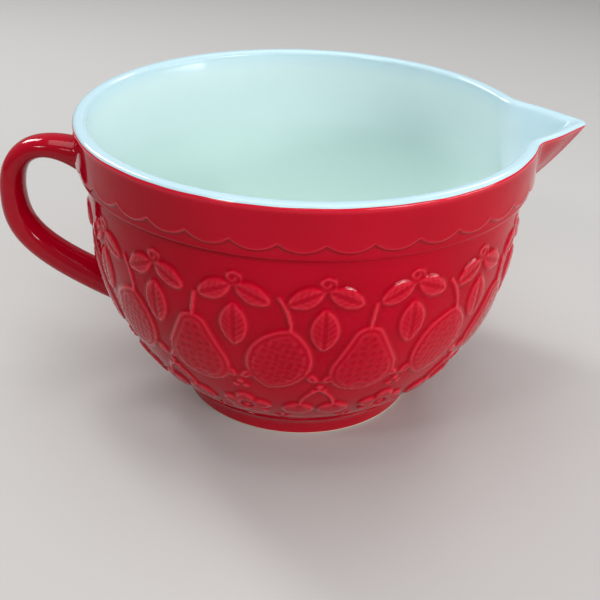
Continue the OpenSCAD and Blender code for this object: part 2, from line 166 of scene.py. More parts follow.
# inset is how far a face lies inside the spout's outer one
def wedgeR(az, z, inset):
    up = z - spout["lowZ"]
    keel = bowl["bellyR"] + up * keelSlope + spout["bow"] * np.sin(
        math.pi * np.clip(up / (bowl["lipZ"] - spout["lowZ"]), 0, 1))
    corner = keel + noseBack - inset / math.sin(half)
    centre = corner - spout["nose"] / math.sin(half)
    a = np.minimum(np.abs(az), math.pi / 2 - half)
    side = corner * math.sin(half) / np.sin(half + a)
    turn = np.arctan2(spout["nose"] * math.cos(half), centre + spout["nose"] * math.sin(half))
    nose = centre * np.cos(a) + np.sqrt(np.maximum(spout["nose"] ** 2 - (centre * np.sin(a)) ** 2, 0))
    swell = spout["swell"] * np.sin(math.pi * np.clip((a - turn) / (leaveAz - turn), 0, 1)) ** 2
    return np.where(a < turn, nose, side + swell)


# frieze of fruit, pressed into the wall's height

frieze = {"gap": 24, "count": 16, "high": 1.3, "stalkW": 1.8, "stalkHigh": 1.15, "curlFrom": 8}
pitch = (360 - frieze["gap"]) / frieze["count"]
friezeH = bowl["bandZ"] - bowl["footZ"]


def dome(d, width, height):
    t = np.clip(d / width, 0, 1)
    return height * (1 - (1 - t) ** 3)


def groove(distance, width, depth):
    return depth * np.clip(1 - (distance / width) ** 2, 0, 1)


# a groove that follows an outline: how far inside it, how wide and how deep
def innerLine(d, line):
    inset, width, depth = line
    return groove(d - inset, width, depth)


def turned(x, y, degrees):
    c, s = math.cos(math.radians(degrees)), math.sin(math.radians(degrees))
    return c * x + s * y, c * y - s * x


# small pits, one to a cell, each 0.3 to 0.7 of the way across it
def pits(x, y, step, size, depth, seed):
    i, j = np.floor(x / step), np.floor(y / step)
    px = x / step - i - (0.3 + 0.4 * hashed(i, j, seed))
    py = y / step - j - (0.3 + 0.4 * hashed(j, i, seed + 3))
    return groove(np.hypot(px, py) * step, size, depth)


def stroke(x, y, points, width, height):
    best = np.full_like(x, 1e3)
    for (ax, ay), (bx, by) in zip(points[:-1], points[1:]):
        dx, dy = bx - ax, by - ay
        t = np.clip(((x - ax) * dx + (y - ay) * dy) / (dx * dx + dy * dy), 0, 1)
        best = np.minimum(best, np.hypot(x - ax - t * dx, y - ay - t * dy))
    return dome(width / 2 - best, width / 2, height)


# distance in from a lens, which is two arcs that meet in a tip at either end
def lensD(x, y, long, wide):
    r = (long * long + wide * wide) / (4 * wide)
    return r - np.hypot(x, np.abs(y) + r - wide / 2)


def arcPoints(across, up, count=10):
    bend = (across * across + up * up) / (2 * across)
    span = math.asin(min(1, up / bend))
    turns = [span * i / count for i in range(count + 1)]
    return [(bend - bend * math.cos(a), bend * math.sin(a)) for a in turns]


pear = {"r": 14.2, "neckR": 7.4, "rise": 16.5, "edge": 2.8, "line": (2.3, 0.9, 0.4),
        "pits": (3.8, 1.0, 0.38, 1), "pitsFrom": 4, "starR": 1.5, "starRay": 0.9, "starUp": 3.6,
        "star": (0.7, 0.35)}


def pearH(x, y):
    r, n, h = pear["r"], pear["neckR"], pear["rise"]
    y = y + h / 3
    b = (r - n) / h
    a = math.sqrt(1 - b * b)
    ax = np.abs(x)
    k = -b * ax + a * y
    shoulder = np.where(k > a * h, np.hypot(x, y - h) - n, a * ax + b * y - r)
    d = -np.where(k < 0, np.hypot(x, y) - r, shoulder)
    relief = dome(d, pear["edge"], frieze["high"]) - innerLine(d, pear["line"])
    relief -= np.where(d > pear["pitsFrom"], pits(x, y, *pear["pits"]), 0)
    starY = y + r - pear["starUp"]
    star = np.hypot(x, starY) - pear["starR"] - pear["starRay"] * np.cos(5 * np.arctan2(x, starY))
    return np.where(d > 0, relief - groove(np.maximum(star, 0), *pear["star"]), 0)


def pearStalkH(x, y):
    start = pear["rise"] * 2 / 3
    points = [(px, py + start) for px, py in arcPoints(frieze["stalkW"], pear["rise"])]
    return stroke(x, y, points, frieze["stalkW"], frieze["stalkHigh"])


lemon = {"long": 36.9, "wide": 27, "lean": 75, "nib": 0.11, "edge": 3, "line": (2.4, 0.9, 0.36),
         "collarAt": 5.2, "collarBend": 0.35, "collar": (0.8, 0.25),
         "pits": (3.0, 0.9, 0.38, 2), "pitsFrom": 2, "pitsEnd": 6.5}


def lemonH(x, y):
    x, y = turned(x, y, lemon["lean"])
    fromTip = np.abs(x) - lemon["long"] / 2
    nib = lemon["nib"] * lemon["wide"]
    d = np.maximum(lensD(x, y, lemon["long"], lemon["wide"]), nib - np.hypot(fromTip + nib, y))
    relief = dome(d, lemon["edge"], frieze["high"]) - innerLine(d, lemon["line"])
    collar = np.abs(fromTip + lemon["collarAt"]) + lemon["collarBend"] * np.abs(y)
    relief -= groove(collar, *lemon["collar"])
    pitted = (d > lemon["pitsFrom"]) & (np.abs(x) < lemon["long"] / 2 - lemon["pitsEnd"])
    relief -= np.where(pitted, pits(x, y, *lemon["pits"]), 0)
    return np.where(d > 0, relief, 0)


def lemonStalkH(x, y):
    tipX = lemon["long"] / 2 * math.cos(math.radians(lemon["lean"]))
    tipY = lemon["long"] / 2 * math.sin(math.radians(lemon["lean"])) - frieze["stalkW"]
    points = [(tipX - px, tipY + py) for px, py in arcPoints(tipX, pear["rise"] - frieze["stalkW"])]
    return stroke(x, y, points, frieze["stalkW"], frieze["stalkHigh"])


leaf = {"long": 16, "wide": 9, "tallLong": 21.1, "tallWide": 11.9, "lift": 25, "high": 0.92, "edge": 1.4,
        "rib": (0.7, 0.45), "line": (1.5, 0.6, 0.22), "lineFrom": 10,
        "vein": (0.55, 0.22), "veinIn": 0.9, "veinStep": 2.7, "veinLean": 0.9, "veinAcross": 0.74}


def leafH(x, y, long, wide):
    d = lensD(x, y, long, wide)
    line = np.where(long > leaf["lineFrom"], innerLine(d, leaf["line"]), 0)
    relief = dome(d, leaf["edge"], frieze["high"] * leaf["high"])
    relief -= groove(np.abs(y), *leaf["rib"]) + line
    q = (x - leaf["veinLean"] * np.abs(y)) / leaf["veinStep"]
    vein = np.abs(q - np.rint(q)) * leaf["veinStep"] * leaf["veinAcross"]
    relief -= np.where(d > leaf["veinIn"], groove(vein, *leaf["vein"]), 0)
    return np.where(d > 0, relief, 0)


def uprightH(x, y):
    return leafH(*turned(x, y, 90), leaf["tallLong"], leaf["tallWide"])


# the leaf at one side of a stalk; side is -1 or 1
def sprayOn(side):
    off = 1.5 * frieze["stalkW"] + leaf["long"] / 2 * math.cos(math.radians(leaf["lift"]))

    def sprayH(x, y):
        px, py = turned(x - side * off, y, side * leaf["lift"])
        return leafH(side * px, py, leaf["long"], leaf["wide"])
    return sprayH


cherry = {"r": 6.8, "edge": 2.2, "dimpleUp": 4.2, "dimple": (1.6, 0.4), "line": (1.9, 0.7, 0.3),
          "lineBelow": 2.5, "stalkDown": 2}


# the cherry at one side of a pair
def cherryOn(side):
    off = cherry["r"] + frieze["stalkW"] / 4

    def cherryH(x, y):
        x = x - side * off
        d = cherry["r"] - np.hypot(x, y)
        relief = dome(d, cherry["edge"], frieze["high"])
        relief -= groove(np.hypot(x, y - cherry["dimpleUp"]), *cherry["dimple"])
        relief -= np.where(y < cherry["lineBelow"], innerLine(d, cherry["line"]), 0)
        return np.where(d > 0, relief, 0)
    return cherryH


def cherryStalkH(x, y):
    r = cherry["r"]
    points = [(px - r, py + r - cherry["stalkDown"]) for px, py in arcPoints(r, 2 * r)]
    return np.maximum(stroke(x, y, points, frieze["stalkW"], frieze["stalkHigh"]),
                      stroke(-x, y, points, frieze["stalkW"], frieze["stalkHigh"]))


blossom = {"petals": 5, "petalR": 4.5, "out": 1.4, "edge": 1.4, "high": 0.95, "fold": (0.5, 0.25),
           "foldFrom": 0.7, "heartR": 2.0, "ring": (2.6, 0.8, 0.6), "ringR": 3.1, "ringLow": 0.2}


def blossomH(x, y):
    r = blossom["petalR"]
    best = np.zeros_like(x)
    for k in range(blossom["petals"]):
        px, py = turned(x, y, 90 + 360 / blossom["petals"] * k)
        d = r - np.hypot(px - blossom["out"] * r, py)
        petal = dome(d, blossom["edge"], frieze["high"] * blossom["high"])
        petal -= np.where(d > blossom["foldFrom"], groove(np.abs(py), *blossom["fold"]), 0)
        best = np.maximum(best, np.where(d > 0, petal, 0))
    heart = np.hypot(x, y)
    ringed = np.maximum(best - innerLine(heart, blossom["ring"]), blossom["ringLow"])
    best = np.where(heart < blossom["ringR"], ringed, best)
    return np.maximum(best, dome(blossom["heartR"] - heart, blossom["edge"], frieze["high"]))


berries = {"places": ((-1.9, 0), (1.9, 0.3), (0.1, 3.2)), "r": 1.75, "edge": 1.5, "high": 1.0}


def berriesH(x, y):
    best = np.zeros_like(x)
    for cx, cy in berries["places"]:
        d = berries["r"] - np.hypot(x - cx, y - cy)
        best = np.maximum(best, dome(d, berries["edge"], berries["high"]))
    return best


buds = {"stem": ((0, -4), (0, 2)), "stemW": 0.9, "high": 0.7, "out": 3.2, "up": 1.8, "lean": 52,
        "long": 8.4, "wide": 4.4}


def budsH(x, y):
    best = stroke(x, y, buds["stem"], buds["stemW"], buds["high"])
    for side in (-1, 1):
        px, py = turned(side * x - buds["out"], y - buds["up"], buds["lean"])
        best = np.maximum(best, leafH(px, py, buds["long"], buds["wide"]))
    return best


curl = {"steps": 14, "turns": 1.35, "r": 4.2, "shrink": 0.72, "wide": 0.9, "tall": 0.72, "up": 1.5,
        "tail": ((-6.5, -4.2), (-3.2, -3.6)), "lineW": 1.15, "high": 0.85}


def curlH(x, y):
    points = list(curl["tail"])
    for i in range(curl["steps"] + 1):
        turn = i / curl["steps"] * curl["turns"] * tau
        r = curl["r"] * (1 - curl["shrink"] * i / curl["steps"])
        points.append((r * math.sin(turn) * curl["wide"], curl["up"] - r * math.cos(turn) * curl["tall"]))
    return stroke(x, y, points, curl["lineW"], curl["high"])


sprig = {"stem": ((0, -3), (0.2, 3.5)), "stemW": 0.9, "high": 0.7, "out": 1.9, "down": 0.4, "lean": 35,
         "r": 0.95, "long": 2.1, "edge": 0.8, "leafHigh": 0.85}


def sprigH(x, y):
    best = stroke(x, y, sprig["stem"], sprig["stemW"], sprig["high"])
    for side, lean in ((-1, 180 - sprig["lean"]), (1, sprig["lean"])):
        px, py = turned(x - side * sprig["out"], y + sprig["down"], lean)
        d = sprig["r"] - np.hypot(px / sprig["long"], py)
        best = np.maximum(best, dome(d, sprig["edge"], sprig["leafHigh"]))
    return best


# for each motif its height as a share of the frieze's, and how far it reaches from its middle
placing = {"fruit": (0.54, 24), "fruitStalk": (0.54, 40), "sprig": (0.13, 6), "spray": (0.84, 22),
           "upright": (0.7, 14), "berries": (0.365, 6), "buds": (0.43, 9), "curl": (0.885, 11),
           "blossom": (0.22, 12), "cherryStalk": (0.22, 24), "cherry": (0.22, 18)}
motifs = []


def press(kind, az, shape):
    share, reach = placing[kind]
    motifs.append((az, alongOf(bowl["footZ"] + share * friezeH), reach, shape))


for k in range(frieze["count"]):
    az = pitch * (k + 0.5 - frieze["count"] / 2)
    press("fruit", az, pearH if k % 2 == 0 else lemonH)
    press("fruitStalk", az, pearStalkH if k % 2 == 0 else lemonStalkH)
    press("sprig", az, sprigH)
    for side in (-1, 1):
        press("spray", az, sprayOn(side))
for k in range(1, frieze["count"]):
    az = pitch * (k - frieze["count"] / 2)
    press("upright", az, uprightH)
    press("berries", az, berriesH)
    press("buds", az, budsH)
    if abs(az) > frieze["curlFrom"]:
        press("curl", az, curlH)
    if k % 2:
        press("blossom", az, blossomH)
    else:
        press("cherryStalk", az, cherryStalkH)
        for side in (-1, 1):
            press("cherry", az, cherryOn(side))


# height of the relief over the wall, for arrays of azimuth and distance along the section
def reliefOver(az, s):
    degrees = np.degrees(az)
    r = sectionAt(s)[0]
    total = np.zeros_like(s)
    for centre, middle, reach, shape in motifs:
        y = s - middle
        x = np.radians((degrees - centre + 180) % 360 - 180) * r
        near = (np.abs(x) < reach) & (np.abs(y) < reach)
        if near.any():
            total[near] = np.maximum(total[near], shape(x[near], y[near]))
    return total


# glaze rounds every edge: a few passes of a small blur along both directions
def glazed(height, passes):
    for _ in range(passes):
        edged = np.pad(height, ((1, 1), (0, 0)), mode="edge")
        height = 0.25 * edged[:-2] + 0.5 * edged[1:-1] + 0.25 * edged[2:]
        edged = np.pad(height, ((0, 0), (1, 1)), mode="wrap")
        height = 0.25 * edged[:, :-2] + 0.5 * edged[:, 1:-1] + 0.25 * edged[:, 2:]
    return height


# body of the bowl, in two halves

body = {"columns": 960, "rows": 168, "startS": -3.5, "innerRows": 9, "clay": 4.6, "tongue": 1.2,
        "blur": 1, "edgeBlur": 4, "edgeGain": 5, "hollowBlur": 10, "hollowGain": 1.4, "gloss": 0.55,
        "seamNear": 1e-3, "seamGap": 1e-2}
azAll = np.linspace(0, tau, body["columns"] + 1)[:-1] - math.pi
sSpan = alongOf(seamZ(azAll))[None, :] - body["startS"]
sOuter = body["startS"] + np.linspace(0, 1, body["rows"])[:, None] * sSpan
sInner = body["startS"] + np.linspace(1, 0, body["innerRows"])[:, None] * sSpan
height = glazed(reliefOver(np.broadcast_to(azAll, sOuter.shape), sOuter), body["blur"])
rOut, zOut, wayR, wayZ = sectionAt(sOuter)
rOut, zOut = rOut + wayR * height, zOut + wayZ * height
rIn, zIn, wayR, wayZ = sectionAt(sInner)
rIn, zIn = rIn - wayR * body["clay"], zIn - wayZ * body["clay"]
tongueR, tongueZ = rOut[-1:] - body["tongue"] / 6, zOut[-1:] + body["tongue"]  # reaches up behind the rim
rBody = np.vstack([rOut, tongueR, rIn, rOut[:1]])
zBody = np.vstack([zOut, tongueZ, zIn, zOut[:1]])
bodyPoints = np.stack([rBody * np.cos(azAll), rBody * np.sin(azAll), zBody], axis=-1)


# a mark on the outer face, with rows for the tongue and the inner face
def padMark(mark):
    return np.vstack([mark, mark[-1:], np.zeros_like(rIn), mark[:1]])


# lighter on raised edges: thinner glaze there, and a painted highlight
edgeMark = np.clip((height - glazed(height, body["edgeBlur"])) * body["edgeGain"], -1, 1)
# darker in hollows: deeper glaze pooled there, and painted shade
poolAndShadeMark = np.clip((glazed(height, body["hollowBlur"]) - height) * body["hollowGain"], 0, 1)
bodyMarks = {"edge": padMark(edgeMark), "hollow": padMark(poolAndShadeMark),
             "gloss": body["gloss"] * padMark(np.clip(edgeMark, 0, 1))}


# normals of the whole wall at a column, for the seams between its two halves
def seamNormals(points, column):
    around = points[:, (column + 1) % points.shape[1]] - points[:, column - 1]
    along = np.gradient(points[:, column], axis=0)
    normal = np.cross(around, along)
    return normal / np.linalg.norm(normal, axis=1)[:, None]


def bodyHalf(name, first):
    columns = [(first + i) % body["columns"] for i in range(body["columns"] // 2 + 1)]
    marks = {key: mark[:, columns] for key, mark in bodyMarks.items()}
    piece = wrapSheet(name, bodyPoints[:, columns], marks, True)
    mesh = piece.data
    spots = np.empty(len(mesh.vertices) * 3)
    mesh.vertices.foreach_get("co", spots)
    spots = spots.reshape(-1, 3) / mm
    wanted = np.zeros_like(spots)
    for column in (columns[0], columns[-1]):
        outer = bodyPoints[:body["rows"], column]
        normals = seamNormals(bodyPoints[:body["rows"]], column)
        for i in np.where(np.abs(spots[:, 1]) < body["seamNear"])[0]:
            gaps = np.abs(outer - spots[i]).sum(axis=1)
            j = int(np.argmin(gaps))
            if gaps[j] < body["seamGap"]:
                wanted[i] = normals[j]
    mesh.normals_split_custom_set_from_vertices([tuple(n) for n in wanted])
    return piece


bodyRight = bodyHalf("body_right", 0)
bodyLeft = bodyHalf("body_left", body["columns"] // 2)
print("stage: body")


# rim band, scallops and spout

rim = {"wallRows": 17, "bandUnder": 0.9, "stripR": 99.1, "layer": 0.9, "count": 36, "drop": 2.9,
       "crownZ": 114.9, "soft": (-0.1, 1.1), "cushion": 0.25, "cushionSpread": 2.2,
       "cuspSoft": 3, "cuspBack": 1.5, "liftZ": (113.4, 114.2), "scallopRows": (113.5, 120.4, 0.42),
       "plainRows": (121, 10), "lipTurns": (6, 13, 20, 27, 34, 41, 48, 60, 75, 90),
       "sink": 0.35, "sinkTurn": (0.35, 0.85), "underLip": (0.25, 0.6), "behind": 0.8,
       "innerZ": (133, roundZ, 128, 122, 116, 110), "toe": ((92.2, 0.6), (93.5, 0)), "spoutOff": 0.3}
# radius and height over the band's lower line, where the band steps out from the wall
ledge = ((95.85, -0.55), (96.0, -0.3), (96.35, -0.1), (96.8, 0), (97.3, 0.04), (97.8, 0.1),
         (98.25, 0.24), (98.62, 0.5), (98.86, 0.84), (99.02, 1.25), (99.1, 1.75))
scallopHalf = bowl["rimR"] * math.sin(math.pi / rim["count"])
scallopR = (scallopHalf ** 2 + rim["drop"] ** 2) / (2 * rim["drop"])


# distance in from the scallops' lower edge, and from the cusps beside it
def scallopD(az, z):
    step = tau / rim["count"]
    x = ((az / step + 0.5) % 1 - 0.5) * step * bowl["rimR"]
    return scallopR - np.hypot(x, np.minimum(z - rim["crownZ"] - scallopR, 0)), scallopHalf - np.abs(x)


def scallopH(az, z):
    d, side = scallopD(az, z)
    pillow = rim["cushion"] * bell(d, rim["cushionSpread"]) * smoothStep(0, 1, d)
    layer = rim["layer"] * smoothStep(*rim["soft"], d)
    return layer + pillow * smoothStep(0, rim["cuspSoft"], side + rim["cuspBack"])


# rows of radius and height up the outside, from the seam to the top of the lip
def rimOuter(az):
    rows = []
    seam = seamZ(az)
    low = bowl["bandZ"] - rim["bandUnder"]
    for q in np.linspace(0, 1, rim["wallRows"]):
        rows.append((seam + q * (low - seam), np.full_like(az, bowl["bellyR"]), 0))
    for r, up in ledge:
        rows.append((np.full_like(az, bowl["bandZ"] + up), np.full_like(az, r), 0))
    plainZ, plainCount = rim["plainRows"]
    for z in np.concatenate([np.arange(*rim["scallopRows"]), np.linspace(plainZ, roundZ, plainCount)]):
        lift = np.clip(scallopH(az, z), 0, None) * smoothStep(*rim["liftZ"], z)
        rows.append((np.full_like(az, z), rim["stripR"] + lift, 0))
    for turn in np.radians(rim["lipTurns"]):
        under = rim["sink"] * float(smoothStep(*rim["sinkTurn"], turn))  # room for the liner's edge
        inset = bowl["lipRound"] - (bowl["lipRound"] - under) * math.cos(turn)
        z = roundZ + (bowl["lipRound"] - under) * math.sin(turn)
        rows.append((np.full_like(az, z), np.full_like(az, bowl["rimR"] - inset), inset))
    return [(smoothMax(r, wedgeR(az, z, inset), spout["outerFillet"]), z) for z, r, inset in rows]


# the lip's outer face and the mouth's inner one, each run into the spout's by a fillet
def outerR(az, z, inset):
    return smoothMax(bowl["rimR"] - inset, wedgeR(az, z, inset), spout["outerFillet"])


def innerR(az, z, inset, mouth):
    return smoothMax(mouth, wedgeR(az, z, inset), spout["innerFillet"])


# inside of the wall over the belly, which flares to the mouth
flareRun = bowl["mouthR"] - bowl["bellyR"] + bowl["wallT"]
flareRise = roundZ - bowl["bellyZ"]
flareR = (flareRun ** 2 + flareRise ** 2) / (2 * flareRun)


def mouthAt(z):
    up = np.clip(z - bowl["bellyZ"], 0, flareRise)
    return bowl["bellyR"] - bowl["wallT"] + flareR - np.sqrt(flareR ** 2 - up ** 2)


rimRows = rimOuter(azAll)
outerCount = len(rimRows)
topOut = rimRows[-1][0]
topIn = innerR(azAll, bowl["lipZ"], spout["side"] - bowl["lipRound"], bowl["mouthR"] + bowl["lipRound"])
for q in rim["underLip"]:
    rimRows.append(((1 - q) * topOut + q * topIn, np.full_like(azAll, bowl["lipZ"] - rim["sink"])))
for z in rim["innerZ"]:
    r = innerR(azAll, z, spout["side"] - rim["behind"], mouthAt(z) + rim["behind"])
    rimRows.append((r, np.full_like(azAll, z)))
for r, up in rim["toe"]:
    rimRows.append((np.full_like(azAll, r), seamZ(azAll) + up))
rimRows.append(rimRows[0])
rRim = np.stack([r for r, z in rimRows])
zRim = np.stack([z for r, z in rimRows])
lowR, lowZ = rRim[:rim["wallRows"]], zRim[:rim["wallRows"]]
lowRelief = glazed(reliefOver(np.broadcast_to(azAll, lowZ.shape), alongOf(lowZ)), body["blur"])
lowR += np.where(lowR < bowl["bellyR"] + rim["spoutOff"], lowRelief, 0)
rRim[-1] = rRim[0]
columns = list(range(len(azAll))) + [0]
rimPoints = np.stack([rRim * np.cos(azAll), rRim * np.sin(azAll), zRim], axis=-1)[:, columns]

# where the rim's red is lighter on an edge, for thinner glaze and a painted highlight, darker under the
# band's ledge and under the scallops' edges, which is painted shadow, or glossier
rimShade = {"ledgeDown": 0.4, "ledgeSpread": 0.7, "ledgeR": 97.5, "scallopZ": (113.2, 119), "scallopR": 101,
            "gapD": -0.1, "gapSpread": 0.45, "gapShadow": 0.9, "crestD": 0.95, "crestSpread": 0.35,
            "crestThinAndHighlight": 0.7, "lipUp": 0.6, "lipSpread": 1.0, "gloss": 0.12, "glossZ": (112, 116)}
r, z = rRim[:outerCount], zRim[:outerCount]
d = scallopD(azAll, z)[0]
lowest, highest = rimShade["scallopZ"]
onScallops = (z > lowest) & (z < highest) & (r < rimShade["scallopR"])
# painted shadow under the band's ledge and beneath the scallops' lower edges
ledgeShadow = bell(z - bowl["bandZ"] + rimShade["ledgeDown"], rimShade["ledgeSpread"]) * (r < rimShade["ledgeR"])
scallopShadow = rimShade["gapShadow"] * bell(d - rimShade["gapD"], rimShade["gapSpread"]) * onScallops
# lighter just under the lip and on the scallops' crests: thinner glaze, and a painted highlight
onLip = bell(z - roundZ - rimShade["lipUp"], rimShade["lipSpread"])
onCrests = rimShade["crestThinAndHighlight"] * bell(d - rimShade["crestD"], rimShade["crestSpread"]) * onScallops
rimPaintedShadow, rimEdge = np.zeros_like(rRim), np.zeros_like(rRim)
rimPaintedShadow[:outerCount] = ledgeShadow + scallopShadow
rimEdge[:outerCount] = onLip + onCrests
rimGloss = body["gloss"] * rimEdge + rimShade["gloss"] * smoothStep(*rimShade["glossZ"], zRim)
rimMarks = {"edge": rimEdge, "hollow": rimPaintedShadow, "gloss": rimGloss}
rimMarks = {key: np.clip(mark, 0, 1)[:, columns] for key, mark in rimMarks.items()}
rimPiece = wrapSheet("rim_and_spout", rimPoints, rimMarks)
print("stage: rim and spout")


# white liner glaze, down the inside and over the lip

liner = {"columns": 560, "dense": 0.5, "thick": 0.55, "edgeThick": 0.25, "floorRows": 16, "bendRows": 12,
         "wallRows": 30, "mouthRows": 28, "lipRows": 9, "lipTop": (0.25, 0.5, 0.75, 1.0), "edgeRows": 7,
         "spoutFrom": 98, "edgeTurn": 58, "wobble": 4, "waves": ((0.5, 7, 1), (0.3, 17, 0), (0.3, 31, 2)),
         "roll": 0.1, "backStep": 3}
t = np.linspace(-1, 1, liner["columns"] + 1)
azLiner = math.pi * ((1 - liner["dense"]) * t + liner["dense"] * t ** 3)  # closer at the spout
innerArc = arcR - bowl["wallT"]
bendZ = bowl["floorZ"] + bowl["floorBend"]
bendX = arcX + math.sqrt((innerArc - bowl["floorBend"]) ** 2 - (bowl["bellyZ"] - bendZ) ** 2)
bendTurn = math.acos((bowl["bellyZ"] - bendZ) / (innerArc - bowl["floorBend"]))
section = [(x, bowl["floorZ"]) for x in np.linspace(0, bendX, liner["floorRows"])]
section += [(bendX + bowl["floorBend"] * math.sin(a), bendZ - bowl["floorBend"] * math.cos(a))
            for a in np.linspace(0, bendTurn, liner["bendRows"])[1:]]
section += [(arcX + innerArc * math.sin(a), bowl["bellyZ"] - innerArc * math.cos(a))
            for a in np.linspace(bendTurn, math.pi / 2, liner["wallRows"])[1:]]
section += [(float(mouthAt(z)), z) for z in np.linspace(bowl["bellyZ"], roundZ, liner["mouthRows"])[1:]]
linerRows = []
for r, z in section:
    if z > liner["spoutFrom"]:
        r = innerR(azLiner, z, spout["side"], r)
    linerRows.append((np.full_like(azLiner, r), np.full_like(azLiner, z)))
for turn in np.linspace(0, math.pi / 2, liner["lipRows"])[1:]:
    grow = bowl["lipRound"] * (1 - math.cos(turn))
    z = roundZ + bowl["lipRound"] * math.sin(turn)
    r = innerR(azLiner, z, spout["side"] - grow, bowl["mouthR"] + grow)
    linerRows.append((r, np.full_like(azLiner, z)))
lastIn, edgeOut = linerRows[-1][0], outerR(azLiner, bowl["lipZ"], bowl["lipRound"])
for q in liner["lipTop"]:
    linerRows.append(((1 - q) * lastIn + q * edgeOut, np.full_like(azLiner, bowl["lipZ"])))
waves = sum(size * np.sin(count * azLiner + shift) for size, count, shift in liner["waves"])
reachTurn = np.radians(liner["edgeTurn"] + liner["wobble"] * waves)
for q in np.linspace(0, 1, liner["edgeRows"])[1:]:
    turn = math.pi / 2 - q * reachTurn
    inset = bowl["lipRound"] * (1 - np.cos(turn))
    z = roundZ + bowl["lipRound"] * np.sin(turn)
    linerRows.append((outerR(azLiner, z, inset) + liner["roll"] * (1 - q ** 4) * np.cos(turn), z))
rFace = np.stack([r for r, z in linerRows])
zFace = np.stack([z for r, z in linerRows])
dr, dz = np.gradient(rFace, axis=0), np.gradient(zFace, axis=0)
length = np.hypot(dr, dz)
thick = np.full((len(linerRows), 1), liner["thick"])
thick[-1] = liner["edgeThick"]
rBack = np.maximum(rFace + dz / length * thick, 0)
zBack = zFace - dr / length * thick
rBack[0] = 0
lastRow = len(linerRows) - 1
backRows = sorted({*range(0, lastRow + 1, liner["backStep"]), lastRow}, reverse=True)
rLiner = np.vstack([rFace, rBack[backRows]])
zLiner = np.vstack([zFace, zBack[backRows]])
linerPoints = np.stack([rLiner * np.cos(azLiner), rLiner * np.sin(azLiner), zLiner], axis=-1)
linerPoints[:, -1] = linerPoints[:, 0]
linerPiece = wrapSheet("liner", linerPoints)
print("stage: liner")


# foot ring with bare clay under it

foot = {"steps": 180, "innerR": 49.5, "draft": 1.5, "round": 1.0, "roundRows": (6, 7), "hollow": 3.5,
        "hollowSide": ((2.5, 0), (1, 0.4), (0.2, 1.4)), "bareZ": 0.9, "crease": 35,
        "waist": ((56.4, 3), (56.75, 5), (57.1, 6.8), (57.55, 8.0), (58.3, 9.1), (59.5, 10.35),
                  (61.2, 11.9), (62.9, 13.35)),
        "inWall": ((62.6, 13.6), (55, 9.4), (0, 9.4))}
footOut = bowl["waistR"] - foot["draft"]
profile = [(0, foot["hollow"])]
profile += [(foot["innerR"] - back, foot["hollow"] - down) for back, down in foot["hollowSide"]]
profile += [(foot["innerR"] + foot["round"] * (1 - math.cos(a)), foot["round"] * (1 - math.sin(a)))
            for a in np.linspace(0, math.pi / 2, foot["roundRows"][0])]
profile += [(footOut - foot["round"] * (1 - math.sin(a)), foot["round"] * (1 - math.cos(a)))
            for a in np.linspace(0, math.pi / 2, foot["roundRows"][1])]
profile += [*foot["waist"], *foot["inWall"]]
footMesh = bpy.data.meshes.new("foot")
footMesh.from_pydata([(r * mm, 0, z * mm) for r, z in profile],
                     [(i, i + 1) for i in range(len(profile) - 1)], [])
footPiece = bpy.data.objects.new("foot", footMesh)
bpy.context.collection.objects.link(footPiece)
bpy.ops.object.select_all(action="DESELECT")
bpy.context.view_layer.objects.active = footPiece
footPiece.select_set(True)
bpy.ops.object.mode_set(mode="EDIT")
bpy.ops.mesh.select_all(action="SELECT")
bpy.ops.mesh.spin(steps=foot["steps"], angle=tau, center=(0, 0, 0), axis=(0, 0, 1))
finishMesh(foot["crease"])
print("stage: foot")


# loop handle

grip = {"reach": 39, "outZ": 90.5, "topZ": 101.5, "lowZ": 35.5, "deep": 10, "wide": 15.6, "rootW": 20,
        "rootWEnd": 0.5, "outT": 11.4, "topT": 9.7, "topRootT": 20, "topRootEnd": 0.45, "lowRootT": 14.1,
        "topWay": 0.88, "topRise": 2.05, "outRise": 1.8, "lowWay": 1.58, "lowRise": 0.45, "outDrop": 0.325,
        "rings": 160, "points": 56, "square": 0.92, "fillet": 4.5, "spread": 1.6, "inside": 0.8,
        "seat": 2.4, "bandOut": 3.3, "bandSoft": (-1.5, 1)}
outX = bowl["rimR"] + grip["reach"] - grip["outT"] / 2
loopW = outX - bowl["bellyR"]
up = grip["topZ"] - grip["outZ"]
down = grip["outZ"] - grip["lowZ"]
top = np.array([bowl["bellyR"] - grip["deep"], grip["topZ"]])
out = np.array([outX, grip["outZ"]])
low = np.array([wallR(grip["lowZ"]) - grip["deep"], grip["lowZ"]])
upper = [top, top + [grip["topWay"] * loopW, grip["topRise"] * up], out + [0, grip["outRise"] * up], out]
lower = [low, low + [grip["lowWay"] * loopW, grip["lowRise"] * down], out - [0, grip["outDrop"] * down], out]


def bezier(p, t):
    return (1 - t) ** 3 * p[0] + 3 * (1 - t) ** 2 * t * p[1] + 3 * (1 - t) * t * t * p[2] + t ** 3 * p[3]


def bezierWay(p, t):
    return 3 * (1 - t) ** 2 * (p[1] - p[0]) + 6 * (1 - t) * t * (p[2] - p[1]) + 3 * t * t * (p[3] - p[2])


def upperThick(u):
    swell = (grip["outT"] - grip["topT"]) * float(smoothStep(grip["topRootEnd"], 1, u))
    root = (grip["topRootT"] - grip["topT"]) * max(0, 1 - u / grip["topRootEnd"]) ** 2
    return grip["topT"] + swell + root


def lowerThick(u):
    return grip["lowRootT"] + (grip["outT"] - grip["lowRootT"]) * u * u


# radius of the wall or of the rim band over it, where the handle meets them
def faceR(z):
    under, over = grip["bandSoft"]
    band = smoothStep(bowl["bandZ"] + under, bowl["bandZ"] + over, z)
    return wallR(np.minimum(z, bowl["bandZ"])) + grip["bandOut"] * band


